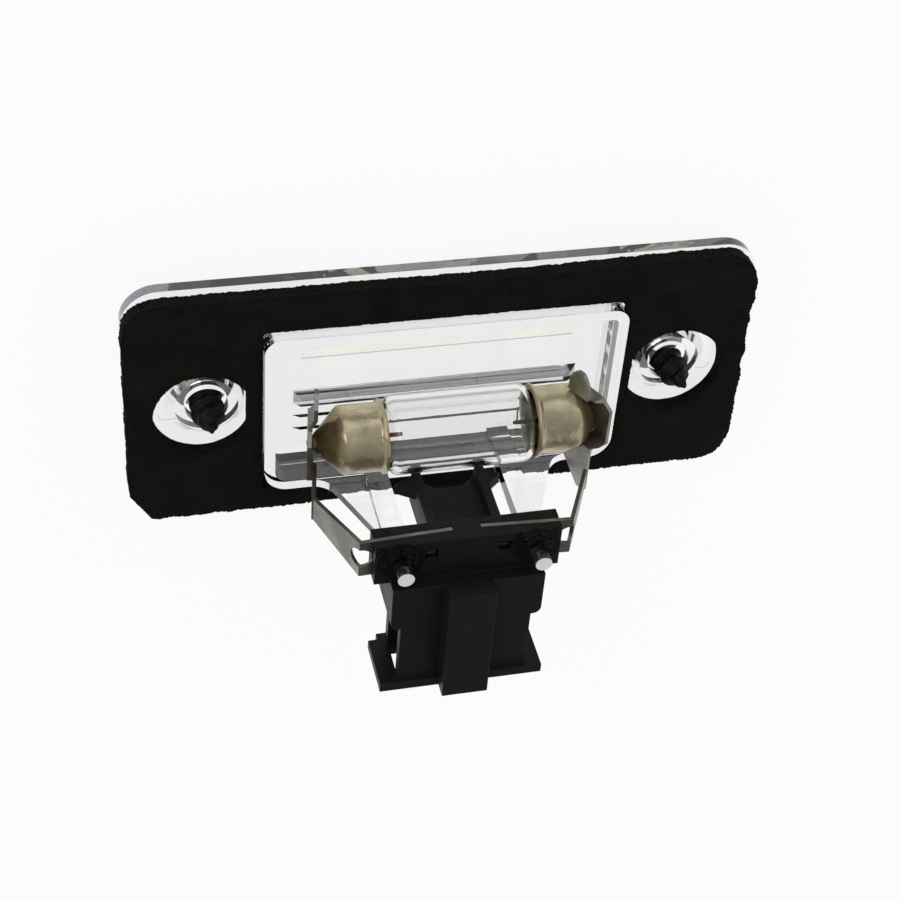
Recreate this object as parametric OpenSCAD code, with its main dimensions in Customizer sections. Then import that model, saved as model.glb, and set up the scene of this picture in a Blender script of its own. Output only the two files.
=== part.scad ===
// Number plate lamp seen from its back: clear lens, foam gasket, festoon bulb, spring contacts
// and the holder with its plug shroud.
// X runs along the lens, Y across it, Z from the light window (z = 0) to the back.

/* [Lens flange] */
// Distance from a screw boss to the flange's end
boss_end = 9.6; // [9:0.1:12]
// Height of the lens flange along Y
flange_h = 33.6; // [31:0.1:40]
// Thickness of the flange
flange_t = 1.5; // [1.2:0.1:2.2]
// Corner radius of the flange
flange_r = 4.5; // [3:0.5:7]
// How far the light window stands in front of the flange
window_step = 4; // [3:0.25:6]

/* [Lens block] */
// Room along X between each tip of the bulb, laid in the middle, and the block's side
bulb_room = 3.6; // [3:0.1:5.4]
// Distance from the lens centre to the upper side of the block
block_up = 10.2; // [9.4:0.1:11.5]
// Distance from the lens centre to the lower side of the block
block_down = 13.1; // [12.7:0.1:13.4]
// Height of the rim above the back of the flange
rim_rise = 2.6; // [2.2:0.1:3.4]
// Thickness of the block's walls
block_wall = 1.35; // [1:0.05:1.7]
// Radius of the upper corners of the block
block_r_up = 2; // [1.6:0.1:3]
// Radius of the lower corners of the block
block_r_down = 3; // [2:0.1:4]
// Thickness of the light window
window_t = 3; // [2:0.25:3.5]

/* [Prisms] */
// Number of prism flutes on the window
flute_count = 4; // [2:1:4]
// Distance from one flute to the next
flute_pitch = 2; // [1.6:0.1:2.1]
// Height of a flute
flute_h = 0.9; // [0.4:0.1:1.2]
// Length of a flute from tip to tip
flute_l = 36; // [30:0.5:38]
// Distance from the lens centre down to the first flute
flute_down = 2.6; // [2.4:0.1:2.8]
// Distance from the lens centre up to the single prism bar
bar_up = 4.2; // [3.8:0.1:5]
// Length of the single prism bar
bar_l = 34; // [28:0.5:36]

/* [Screw bosses] */
// Distance from the block's side to the axis of each boss
boss_gap = 6.7; // [6.5:0.1:7.8]
// Height of the bosses' centres above the lens centre
boss_y = 0.2; // [-1:0.1:1]
// Bore for the screw
boss_bore = 5.2; // [4.8:0.1:5.6]
// Diameter of the boss at the flange
boss_base_d = 9.8; // [9.2:0.1:9.8]
// Diameter of the boss at its top
boss_top_d = 7.6; // [7:0.1:8.4]
// Height of the boss above the back of the flange
boss_rise = 1; // [0.6:0.1:1.6]
// Diameter of the recess for the screw head
recess_d = 8.2; // [8:0.1:8.8]
// Depth of the recess for the screw head
recess_depth = 1; // [0.6:0.1:1.2]

/* [Lens arms] */
// Distance from the middle to the centre of each arm and pin
pin_x = 8.4; // [8.2:0.05:8.6]
// Distance from the lens centre down to the pins
pin_down = 12.1; // [12:0.05:12.3]
// Diameter of the pins
pin_d = 2.04; // [1.9:0.02:2.2]
// Length of pin that shows past the lock washers
pin_end = 3; // [2:0.1:3.4]
// Width of the thick spine of each arm
spine_w = 2.7; // [2.5:0.1:3]
// Thickness of the spine
spine_t = 2.1; // [1.9:0.1:2.2]
// Thickness of the tapered web beside the spine
web_t = 1.1; // [0.9:0.1:1.3]
// Distance from the spine to the foot of the web
web_foot = 4.75; // [4:0.25:5.5]
// Radius between the web and the rim
web_r = 3; // [2:0.25:4]
// Distance from the holder's plate to the top of the web
web_drop = 0.8; // [0.4:0.1:1.2]

/* [Gasket] */
// Thickness of the foam gasket
gasket_t = 2; // [1.5:0.1:2.3]
// Distance from the gasket's upper edge to the flange's edge
gasket_inset = 0.9; // [0.6:0.1:1.4]
// Distance from the gasket's lower edge to the flange's edge
gasket_low = 0.4; // [0.1:0.1:1.4]
// Distance from the gasket's ends to the flange's ends
gasket_end = 0.1; // [0.1:0.1:1]
// Gap between the gasket and the block
gasket_gap = 0.15; // [0.1:0.05:0.5]
// Corner radius of the gasket
gasket_r = 4.5; // [3:0.5:5]
// Room round each boss in its hole in the foam
gasket_hole_room = 1.1; // [1:0.05:1.3]
// Room between each boss and the flat side of its hole in the foam
gasket_flat_room = 0.2; // [0.2:0.05:0.5]
// How far the holes lie outwards of the screws
gasket_shift = 0.5; // [0:0.1:0.5]
// How far the holes lie below the screws
gasket_drop = 0.85; // [0.4:0.05:0.85]

/* [Bulb] */
// Length of the bulb from tip to tip
bulb_l = 37.2; // [36.8:0.1:37.6]
// Shift of the bulb along X
bulb_shift = 1.1; // [0.6:0.1:1.3]
// Distance from the lens centre down to the bulb's axis
bulb_down = 4; // [3.8:0.1:4.4]
// Height of the bulb's axis above the window's face
bulb_z = 10.3; // [10.1:0.1:10.8]
// Diameter of the metal caps
cap_d = 8.5; // [8.2:0.1:8.8]
// Length of a cap with its cone
cap_l = 9.4; // [8.9:0.1:9.8]
// Length of the cone
cone_l = 4; // [3.7:0.1:4.2]
// Thickness of the cap's metal
cap_wall = 0.3; // [0.2:0.05:0.4]
// Diameter of the bead at the cap's rim
bead_d = 9.3; // [9.1:0.1:9.5]
// Diameter of the glass
glass_d = 9.8; // [9.5:0.1:10.1]
// Thickness of the glass
glass_wall = 0.6; // [0.4:0.1:0.8]
// Diameter of the solder tips
tip_d = 1.9; // [1.6:0.1:2.1]
// Diameter of the lead wires
lead_d = 0.6; // [0.4:0.1:0.8]
// Length of a lead wire
lead_l = 4.4; // [3.6:0.1:5]
// Diameter of the filament's stub
stub_d = 0.2; // [0.15:0.05:0.3]
// Length of the filament's stub
stub_l = 1.8; // [1:0.1:2]

/* [Holder] */
// Length of the holder's plate along X
plate_l = 22.9; // [22.4:0.1:23.4]
// Distance from the lens centre to the upper edge of the plate
plate_up = -9.7; // [-9.9:0.1:-9.5]
// Height of the plate along Y
plate_h = 5.9; // [5.8:0.1:6.2]
// Thickness of the plate
plate_t = 3.25; // [3:0.05:3.6]
// Height of the plate's front face above the window's face
plate_z = 20.25; // [20:0.05:20.6]
// Gap round each pin in the plate
pin_gap = 0.13; // [0.1:0.01:0.2]
// Depth of the spring strips behind the plate's front face
strip_in = 1.35; // [1.2:0.05:1.45]
// Gap on each side of a spring strip in its slot
strip_gap = 0.12; // [0.08:0.01:0.16]
// Distance from the middle to the centre of each latch window
latch_x = 4.5; // [4.3:0.1:4.7]
// Width of the latch windows
latch_w = 1.6; // [1.2:0.1:1.8]
// Height of the latch windows
latch_h = 1.4; // [1:0.1:1.6]

/* [Plug shroud] */
// Width of the shroud's upper part
body_w = 18.9; // [18.6:0.1:19.2]
// Length of the shroud's upper part along Y
body_l = 6.7; // [6.4:0.1:7.2]
// Thickness of the shroud along Z
body_t = 7.25; // [7.1:0.05:7.6]
// How far the shroud's back stands behind the plate's back
body_rise = 1.75; // [1.5:0.05:2]
// Width of the shroud's back wall between the side slots
neck_w = 16.4; // [16:0.1:16.8]
// Outer width of the shroud's inner tube
tube_w = 14; // [13.6:0.1:14.4]
// Width of the cavity for the plug
cavity_w = 11.6; // [11.2:0.1:11.8]
// Height of the cavity for the plug
cavity_h = 4.8; // [4.6:0.1:5]
// Length of the side slots along Y
slot_l = 9.2; // [8.8:0.1:10]
// Width of the flange at the mouth
mouth_w = 20.8; // [20.4:0.1:21.4]
// Thickness of the flange at the mouth
mouth_t = 1.3; // [1.1:0.1:1.8]
// How far the flange at the mouth stands behind the shroud's back
mouth_back_out = 0.35; // [0.2:0.05:0.6]
// How far the flange at the mouth stands in front of the shroud's front
mouth_front_out = 1; // [0.6:0.1:1.4]
// Width of the steps at the flange's front corners
mouth_step = 1.2; // [1:0.1:1.5]
// Radius of the shroud's corners above the side slots
body_r = 1; // [0.6:0.1:1.4]
// Thickness of the walls beside the side slots
neck_t = 1.2; // [1:0.05:1.2]
// Thickness of the wall between the plate and the cavity
cavity_top = 2; // [1.6:0.1:2.6]
// Width of the latch loops in the flange
loop_w = 1; // [0.8:0.1:1.1]
// Height of the latch loops in the flange
loop_h = 4.4; // [3.8:0.1:4.8]
// Width of the key rib on the back
key_w = 5.8; // [5.4:0.1:6.2]
// Height of the key rib
key_h = 2.35; // [2:0.05:2.8]

/* [Pillar] */
// Outer width of the pillar under the bulb
pillar_w = 9.1; // [8.9:0.1:9.3]
// Thickness of the pillar's side walls
pillar_wall = 1.15; // [1:0.05:1.3]
// Depth of the pillar's side walls along Y
pillar_depth = 4.4; // [4:0.1:4.8]
// Height of the pillar's free end above the window's face
pillar_z = 11.3; // [11.2:0.1:11.8]
// How far the web lies behind the walls' edges
web_recess = 1.5; // [1:0.1:2]
// How far the left barb stands out
barb_left = 2.4; // [1.8:0.1:2.4]
// How far the right barb stands out
barb_right = 1.7; // [1:0.1:2.2]
// Length of a barb along the pillar
barb_l = 2.8; // [2.4:0.1:3.2]
// Depth of the cut-out under the bulb
notch = 1.6; // [1:0.1:2]

/* [Contacts] */
// Thickness of the spring strip
strip_t = 0.5; // [0.4:0.05:0.55]
// Width of the strip in the holder
strip_w = 5.4; // [5.2:0.05:5.5]
// Slope of the strip in the holder in degrees
strip_tilt = 3; // [2.5:0.25:3.5]
// Distance from the middle to the strip's inner end
strip_start = 1.75; // [1.6:0.05:2]
// Distance from the middle to the bend outside the holder
bend_x = 13; // [12.8:0.1:13.2]
// How far inside the bulb's half length the knee stands
knee_in = 1.5; // [1.3:0.05:1.7]
// Height of the knee above the window's face
knee_z = 13.8; // [13.6:0.05:14]
// Diameter of the hole at the bend
strip_hole_d = 2.8; // [2.4:0.1:3]
// Width of the strip's neck
neck_strip_w = 4.1; // [3.8:0.1:4.3]
// Distance from the holder's plate top to the lower end of the neck
neck_drop = 3.3; // [3:0.1:3.6]
// Gap between the seat and the bulb's cone
seat_gap = 0.12; // [0.08:0.01:0.2]
// Twist of the left strip's neck in degrees
twist_left = 10.6; // [8:0.2:12]
// Twist of the right strip's neck in degrees
twist_right = 27; // [25:0.5:28]
// How far the left seat is set outwards
step_left = 0.7; // [0.6:0.05:0.9]
// How far the right seat is set outwards
step_right = 2; // [1.8:0.05:2.2]
// Width of a seat
seat_w = 7.4; // [7:0.1:7.6]
// Height of a seat
seat_h = 6.4; // [6.2:0.1:6.8]
// Width of the ear above a seat
ear_w = 3.3; // [3:0.1:3.5]
// Height of the ear above a seat
ear_h = 3.2; // [2.8:0.1:3.6]
// Width of the blades in the plug shroud
blade_w = 2.8; // [2.6:0.1:2.8]
// Distance from the middle to each blade's centre
blade_x = 3.6; // [3.5:0.05:3.7]
// Length of the blades below the strip
blade_l = 13.5; // [12:0.5:15]

/* [Lock washers] */
// Outer diameter of the lock washers
washer_d = 5.9; // [5.6:0.1:6]
// Thickness of the lock washers
washer_t = 0.5; // [0.4:0.05:0.7]
// Number of teeth of a lock washer
washer_teeth = 6; // [4:1:8]
// Length of a washer's teeth
tooth_l = 0.9; // [0.7:0.05:1.1]
// Width of the slits between the teeth
slit_w = 0.5; // [0.4:0.05:0.6]

/* [Screws] */
// Outer diameter of the thread
thread_d = 4.1; // [3.8:0.1:4.3]
// Diameter of the core under the thread
core_d = 2.9; // [2.6:0.1:3.1]
// Distance from one turn of the thread to the next
thread_pitch = 1.8; // [1.4:0.1:2]
// Length of the screw under its head
screw_l = 9.5; // [9.2:0.1:10]
// Diameter of the screw head
head_d = 7.4; // [7:0.1:7.8]
// Height of the screw head
head_h = 2.1; // [1.8:0.1:2.2]
// Rounding at the face of the screw head
head_edge = 0.6; // [0.4:0.1:0.8]
// Length of the screw's pointed end
point_l = 3; // [2.4:0.2:3.4]
// Lean of the loose right screw in degrees
screw_lean = 6.5; // [0:0.5:7]
// How far the right screw's head lies towards the middle
screw_shift = 0.65; // [0.3:0.05:0.7]

/* [Hidden] */
$fn = 48;
block_w = bulb_l + 2 * bulb_room;
boss_span = block_w + 2 * boss_gap;
flange_l = boss_span + 2 * boss_end;
flange_z = window_step;
flange_back = flange_z + flange_t;
rim_z = flange_back + rim_rise;
gasket_hole_d = boss_base_d + 2 * gasket_hole_room;
gasket_flat = boss_base_d / 2 + gasket_flat_room;
pin_y = -pin_down;
spine_out = pin_x + spine_w / 2;
plate_back = plate_z + plate_t;
plate_low = plate_up - plate_h;
washer_top = plate_back + washer_t;
pin_top = washer_top + pin_end;
bulb_y = -bulb_down;
body_back = plate_back + body_rise;
body_front = body_back - body_t;
slot_top = plate_low - body_l;
mouth_top = slot_top - slot_l;
mouth_y = mouth_top - mouth_t;
strip_z = plate_z + strip_in;
strip_up = plate_up - 0.05;
strip_low = strip_up - strip_w;
latch_low = pin_y - 0.4;
knee_x = bulb_l / 2 - knee_in;
bend_z = strip_z + (bend_x - strip_start) * tan(strip_tilt);
web_top = [spine_out, plate_z - web_drop];
web_slope = atan2(web_top[1] - rim_z, web_foot);
fillet_run = web_r * tan(web_slope / 2);
seat_low = bulb_y - 2.2;
seat_high = seat_low + seat_h;
neck_near = 0.3;
neck_far = neck_near - neck_strip_w;
neck_low = plate_up - neck_drop;
seat_near = 1;
ear_far = -4.5;
join = 0.2;
left = -1;
right = 1;
lens_colour = [0.86, 0.9, 0.92, 0.45];
glass_colour = [0.9, 0.95, 0.96, 0.4];
foam_colour = [0.08, 0.08, 0.075];
moulding_colour = [0.13, 0.13, 0.13];
strip_colour = [0.6, 0.6, 0.56];
cap_colour = [0.68, 0.64, 0.52];

// A rectangle round the origin with round corners made of true arcs.
module round_rect(w, h, r) {
    square([w - 2 * r, h], center = true);
    square([w, h - 2 * r], center = true);
    for (sx = [-1, 1], sy = [-1, 1])
        translate([sx * (w / 2 - r), sy * (h / 2 - r)]) circle(r);
}

// The block's outline, grown by a margin, with its own radii above and below.
module block_outline(margin = 0) {
    half = block_w / 2 + margin;
    up = block_up + margin;
    low = -block_down - margin;
    r_up = block_r_up + margin;
    r_low = block_r_down + margin;
    translate([-half + r_up, up - r_up - join]) square([2 * (half - r_up), r_up + join]);
    translate([-half + r_low, low]) square([2 * (half - r_low), r_low + join]);
    translate([-half, low + r_low]) square([2 * half, up - r_up - low - r_low]);
    for (s = [-1, 1]) {
        translate([s * (half - r_up), up - r_up]) circle(r_up);
        translate([s * (half - r_low), low + r_low]) circle(r_low);
    }
}

// One prism flute: a three-sided bar with both ends brought to a point.
module flute(length) {
    half = length / 2;
    intersection() {
        translate([-half, 0, 0]) rotate([90, 0, 90])
            linear_extrude(length) polygon([[-flute_pitch / 2, -join], [flute_pitch / 2, -join],
                [flute_pitch / 2, 0], [0, flute_h], [-flute_pitch / 2, 0]]);
        rotate([90, 0, 0]) translate([0, 0, -flute_pitch])
            linear_extrude(2 * flute_pitch) polygon([[-half, -join], [half, -join], [half, 0],
                [half - 1.2 * flute_h, flute_h], [-half + 1.2 * flute_h, flute_h], [-half, 0]]);
    }
}

// One arm: the tapered web in the plane of the lower wall, the spine and the pin.
module lens_arm(side) {
    foot = [spine_out + web_foot, rim_z];
    tangent = [foot[0] - fillet_run * cos(web_slope), rim_z + fillet_run * sin(web_slope)];
    mirror([side < 0 ? 1 : 0, 0, 0]) {
        translate([0, -block_down + web_t, 0]) rotate([90, 0, 0]) linear_extrude(web_t) {
            polygon([[spine_out - join, rim_z - join], [foot[0], rim_z - join], foot, web_top,
                [spine_out - join, web_top[1]]]);
            difference() {
                polygon([[foot[0] - join, rim_z - join], [foot[0] + fillet_run, rim_z - join],
                    [foot[0] + fillet_run, rim_z], tangent, [tangent[0] - join, tangent[1]]]);
                translate([foot[0] + fillet_run, rim_z + web_r]) circle(web_r);
            }
        }
        translate([pin_x - spine_w / 2, -block_down, window_t - join])
            cube([spine_w, spine_t, plate_z - window_t + join]);
        translate([pin_x, pin_y, plate_z - join]) cylinder(h = pin_top - plate_z + join, d = pin_d);
    }
}

module screw_boss() {
    translate([0, 0, flange_back - join]) cylinder(h = join, d = boss_base_d);
    translate([0, 0, flange_back]) cylinder(h = boss_rise, d1 = boss_base_d, d2 = boss_top_d);
}

module lens() {
    color(lens_colour) difference() {
        union() {
            difference() {
                union() {
                    translate([0, 0, flange_z]) linear_extrude(flange_t)
                        round_rect(flange_l, flange_h, flange_r);
                    linear_extrude(rim_z) block_outline();
                }
                translate([0, 0, window_t]) linear_extrude(rim_z) block_outline(-block_wall);
            }
            for (side = [left, right]) {
                lens_arm(side);
                translate([side * boss_span / 2, boss_y, 0]) screw_boss();
            }
            for (i = [0:flute_count - 1])
                translate([0, -flute_down - i * flute_pitch, window_t]) flute(flute_l);
            translate([0, bar_up, window_t]) flute(bar_l);
        }
        for (side = [left, right]) translate([side * boss_span / 2, boss_y, 0]) {
            cylinder(h = rim_z, d = boss_bore);
            translate([0, 0, flange_z - join]) cylinder(h = recess_depth + join, d = recess_d);
        }
    }
}

module gasket() {
    color(foam_colour) translate([0, 0, flange_back]) linear_extrude(gasket_t) difference() {
        translate([0, (gasket_low - gasket_inset) / 2])
            round_rect(flange_l - 2 * gasket_end, flange_h - gasket_inset - gasket_low, gasket_r);
        block_outline(gasket_gap);
        for (side = [left, right]) translate([side * boss_span / 2, boss_y]) intersection() {
            translate([side * gasket_shift, -gasket_drop]) circle(d = gasket_hole_d);
            translate([side * (gasket_hole_d / 2 - gasket_flat), -gasket_drop])
                square(gasket_hole_d, center = true);
        }
    }
}

// The plate with the pin holes, a slot for each strip open above and outside, and the latch windows.
module plate() {
    slot_t = strip_t + 2 * strip_gap;
    difference() {
        translate([-plate_l / 2, plate_low - join, plate_z]) cube([plate_l, plate_h + join, plate_t]);
        for (side = [left, right]) {
            translate([side * pin_x, pin_y, plate_z - 1]) cylinder(h = plate_t + 2, d = pin_d + 2 * pin_gap);
            mirror([side < 0 ? 1 : 0, 0, 0]) translate([strip_start, 0, strip_z]) rotate([0, -strip_tilt, 0])
                translate([-strip_gap, strip_low - strip_gap, -slot_t / 2]) cube([plate_l, plate_h, slot_t]);
            translate([side * latch_x - latch_w / 2, latch_low, strip_z]) cube([latch_w, latch_h, plate_t]);
            blade_passage(side);
        }
    }
}

// The way of a blade from the strip's slot into the cavity.
module blade_passage(side) {
    way = [blade_w + 2 * strip_gap, strip_low - plate_low + cavity_top + 1, strip_t + 0.8];
    translate([side * blade_x - way[0] / 2, plate_low - cavity_top - 1, strip_z - strip_t / 2 - 0.25])
        cube(way);
}

// The pillar between the arms: two walls, a web with a cut-out for the bulb and two barbs.
module pillar() {
    half = pillar_w / 2;
    inner = half - pillar_wall;
    height = plate_z - pillar_z + join;
    for (side = [left, right]) {
        reach = side == left ? barb_left : barb_right;
        translate([side * (half - pillar_wall / 2) - pillar_wall / 2, plate_up - pillar_depth, pillar_z])
            cube([pillar_wall, pillar_depth, height]);
        translate([0, plate_up, pillar_z]) rotate([90, 0, 0]) linear_extrude(web_recess)
            polygon([[side * (half - join), barb_l / 7], [side * (half + reach), 0.6 * barb_l],
                [side * half, 8 / 7 * barb_l], [side * (half - join), 8 / 7 * barb_l]]);
    }
    translate([0, plate_up - web_recess, pillar_z]) rotate([90, 0, 0]) linear_extrude(pillar_wall)
        polygon([[-inner - join, 0], [-inner, 0], [-inner / 2, notch], [inner / 2, notch], [inner, 0],
            [inner + join, 0], [inner + join, height], [-inner - join, height]]);
}

// The full-width part of the shroud seen from the back, with round corners above the side slots.
module body_outline() {
    translate([-body_w / 2, slot_top + body_r]) square([body_w, body_l - body_r]);
    translate([-body_w / 2 + body_r, slot_top]) square([body_w - 2 * body_r, body_r + join]);
    for (s = [-1, 1]) translate([s * (body_w / 2 - body_r), slot_top + body_r]) circle(body_r);
}

// The plug shroud: a full-width part, a tube between open side slots and a flange with latch loops.
module shroud() {
    mouth_back = body_back + mouth_back_out;
    mouth_front = body_front - mouth_front_out;
    cavity_z = (body_front + body_back) / 2 - cavity_h / 2;
    tube_l = slot_l + mouth_t + join;
    loop_z = (mouth_back + body_front) / 2 - loop_h / 2;
    difference() {
        union() {
            translate([0, 0, body_front]) linear_extrude(body_t) body_outline();
            translate([-tube_w / 2, mouth_y, body_front]) cube([tube_w, tube_l, body_t]);
            for (z = [body_front, body_back - neck_t])
                translate([-neck_w / 2, mouth_y, z]) cube([neck_w, tube_l, neck_t]);
            translate([-mouth_w / 2, mouth_y, body_front]) cube([mouth_w, mouth_t, mouth_back - body_front]);
            translate([-mouth_w / 2 + mouth_step, mouth_y, mouth_front])
                cube([mouth_w - 2 * mouth_step, mouth_t, mouth_front_out + join]);
            translate([-key_w / 2, mouth_y, body_back - join])
                cube([key_w, plate_low - mouth_y, key_h + join]);
        }
        translate([-cavity_w / 2, mouth_y - 1, cavity_z])
            cube([cavity_w, plate_low - cavity_top - mouth_y + 1, cavity_h]);
        for (side = [left, right]) {
            translate([side * (tube_w / 2 + loop_w / 2) - loop_w / 2, mouth_y - 1, loop_z])
                cube([loop_w, mouth_t + 2, loop_h]);
            blade_passage(side);
        }
    }
}

module holder() {
    color(moulding_colour) {
        plate();
        pillar();
        shroud();
    }
}

// The right strip is twisted further than the left one, as a used spring contact is.
function twist(side) = side == left ? twist_left : twist_right;
function seat_step(side) = side == left ? step_left : step_right;

// The outline of a bent sheet: a path with a thickness and mitred corners.
function across(a, b) = [a[1] - b[1], b[0] - a[0]] / norm(b - a);
function corner(path, i) =
    let (last = len(path) - 1, before = across(path[max(i - 1, 0)], path[max(i, 1)]),
        after = across(path[min(i, last - 1)], path[min(i + 1, last)]))
    (before + after) / (1 + before * after);
function bent_sheet(path, t) = concat(
    [for (i = [0:len(path) - 1]) path[i] + corner(path, i) * t / 2],
    [for (i = [1:len(path)]) path[len(path) - i] - corner(path, len(path) - i) * t / 2]);

// The strip in the holder, its blade and the diagonal: bent in the XZ plane, cut to its outline in XY.
module band() {
    near = blade_x - blade_w / 2;
    intersection() {
        translate([0, strip_up + 1, 0]) rotate([90, 0, 0]) linear_extrude(strip_up + 2 - plate_low + blade_l)
            polygon(bent_sheet([[strip_start, strip_z], [bend_x, bend_z], [knee_x, knee_z]], strip_t));
        translate([0, 0, knee_z - 1]) linear_extrude(bend_z - knee_z + 2)
            polygon([[strip_start - 1, strip_up], [strip_start - 1, strip_low], [near, strip_low],
                [near, plate_low - blade_l], [near + blade_w, plate_low - blade_l],
                [near + blade_w, strip_low], [bend_x, strip_low], [knee_x, neck_low],
                [knee_x + 1, neck_low], [knee_x + 1, strip_up]]);
    }
}

// The tongue that is bent out of the strip into its latch window.
module tongue() {
    translate([strip_start, 0, strip_z]) rotate([0, -strip_tilt, 0])
        translate([latch_x - strip_start - latch_w / 3, latch_low + strip_gap, 0])
            cube([latch_w / 1.5, 0.35, strip_t / 2 + 0.8]);
}

// The neck, the seat that takes the bulb's cone and the ear: stepped twice, cut to its outline.
module neck(side) {
    out = side == left ? step_left : step_right;
    ear_low = seat_high + (side == left ? 1.2 : 0.4);
    ear_top = ear_low + ear_h;
    ear_near = ear_far + ear_w;
    seat_far = seat_near - seat_w;
    translate([knee_x, 0, knee_z]) rotate([0, side == left ? twist_left : twist_right, 0]) intersection() {
        translate([0, 0, seat_far - 1]) linear_extrude(seat_w + 2)
            polygon(bent_sheet([[0, neck_low - 1], [0, seat_low - 0.2], [out, seat_low + 0.2],
                [out, seat_high - 0.1], [0, ear_low], [0, ear_top + 1]], strip_t));
        rotate([0, -90, 0]) translate([0, 0, -out - 1]) linear_extrude(out + 2)
            polygon([[-1, neck_low], [neck_near, neck_low], [neck_near, seat_low],
                [seat_near, seat_low + 0.2], [seat_near, seat_high - 0.16 * seat_h],
                [seat_near - 0.22 * seat_w, seat_high],
                [ear_near, seat_high],
                [ear_near, ear_low + ear_h / 2], [ear_near - 0.7, ear_top - 0.15 * ear_h],
                [ear_near - 1.2, ear_top], [ear_far + 1.2, ear_top], [ear_far + 0.6, ear_top - 0.15 * ear_h],
                [ear_far, ear_low + ear_h / 2], [ear_far, seat_high], [ear_far - 0.5, seat_high],
                [seat_far, seat_high - 0.28 * seat_h], [seat_far, seat_low + 0.31 * seat_h],
                [seat_far + 0.19 * seat_w, seat_low + 0.2],
                [neck_near - 2.6, seat_low + 0.2], [neck_near - 2.6, seat_low - 0.2],
                [neck_far, seat_low - 2.1], [neck_far, strip_up]]);
    }
}

// A spring contact with a round hole across its first bend and one for the lens's pin.
// The right one is twisted further than the left one, as a used contact is.
module contact(side) {
    diagonal_turn = atan2(knee_x - bend_x, bend_z - knee_z);
    color(strip_colour) mirror([side < 0 ? 1 : 0, 0, 0]) difference() {
        union() {
            band();
            tongue();
            neck(side);
        }
        translate([side * bulb_shift, bulb_y, bulb_z]) rotate([0, 90, 0]) cap_shape(seat_gap);
        translate([pin_x, pin_y, plate_z]) cylinder(h = plate_t, d = pin_d + 2 * pin_gap);
        translate([bend_x, pin_y - 0.2, bend_z]) rotate([0, 45 - diagonal_turn / 2, 0])
            cylinder(h = strip_w, d = strip_hole_d, center = true);
    }
}

// The cap's outer form along Z, grown by a margin, used for the cap and for the seats in the contacts.
module cap_shape(margin = 0) {
    reach = bulb_l / 2;
    grow = margin * 1.6;
    rotate_extrude() polygon([[0, reach - cap_l], [cap_d / 2 + margin, reach - cap_l],
        [cap_d / 2 + margin, reach - cone_l], [tip_d / 2 + grow, reach - 0.8],
        [tip_d / 2 + grow, reach + margin], [0, reach + margin]]);
}

module along_bulb(side) {
    translate([bulb_shift, bulb_y, bulb_z]) rotate([0, 90 * side, 0]) children();
}

module bulb_cap(side) {
    reach = bulb_l / 2;
    color(cap_colour) along_bulb(side) rotate_extrude() polygon([[cap_d / 2 - cap_wall, reach - cap_l],
        [bead_d / 2, reach - cap_l], [bead_d / 2, reach - cap_l + 0.6], [cap_d / 2, reach - cap_l + 0.8],
        [cap_d / 2, reach - cone_l], [tip_d / 2, reach - 0.8], [0, reach - 0.8], [0, reach - 1.2],
        [tip_d / 2 - 0.2, reach - 1.2], [cap_d / 2 - cap_wall, reach - cone_l - 0.2]]);
}

module solder_tip(side) {
    color("gray") along_bulb(side) rotate_extrude() intersection() {
        translate([0, bulb_l / 2 - tip_d / 2 - 0.05]) circle(d = tip_d + 0.1);
        translate([0, bulb_l / 2 - 0.8]) square([tip_d / 2, 0.8]);
    }
}

// A closed half-profile with both ends: the given points and the same points on the other side.
function both_ends(half) = concat([[0, half[0][1]]], half,
    [for (i = [1:len(half)]) [half[len(half) - i][0], -half[len(half) - i][1]]], [[0, -half[0][1]]]);

module bulb_glass() {
    reach = bulb_l / 2 - cap_l;
    mid = glass_d / 2;
    neck = cap_d / 2 - cap_wall - 0.25;
    shoulder = 0.8;
    hollow_mid = mid - glass_wall;
    hollow_neck = neck - glass_wall;
    color(glass_colour) along_bulb(right) rotate_extrude() difference() {
        polygon(both_ends([[neck, reach + 3], [neck, reach], [mid, reach - shoulder]]));
        polygon(both_ends([[hollow_neck, reach + 2.2], [hollow_neck, reach - 0.2],
            [hollow_mid, reach - shoulder - 0.2]]));
    }
}

module lead(side) {
    color("saddlebrown") along_bulb(side)
        translate([0, 0, bulb_l / 2 - cap_l - lead_l / 2]) cylinder(h = lead_l, d = lead_d, $fn = 24);
}

// What is left of the broken filament, standing on the right lead.
module filament_stub() {
    color("dimgray") translate([bulb_shift + bulb_l / 2 - cap_l - 0.4 * lead_l, bulb_y + lead_d / 2, bulb_z])
        rotate([-90, 0, 0]) cylinder(h = stub_l, d = stub_d, $fn = 16);
}

module lock_washer(side) {
    color("dimgray") translate([side * pin_x, pin_y, plate_back]) difference() {
        cylinder(h = washer_t, d = washer_d);
        translate([0, 0, -1]) cylinder(h = washer_t + 2, d = pin_d + 0.04);
        for (i = [1:washer_teeth]) rotate([0, 0, i * 360 / washer_teeth + 20])
            translate([pin_d / 2 - join, -slit_w / 2, -1]) cube([tooth_l + join, slit_w, washer_t + 2]);
    }
}

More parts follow.
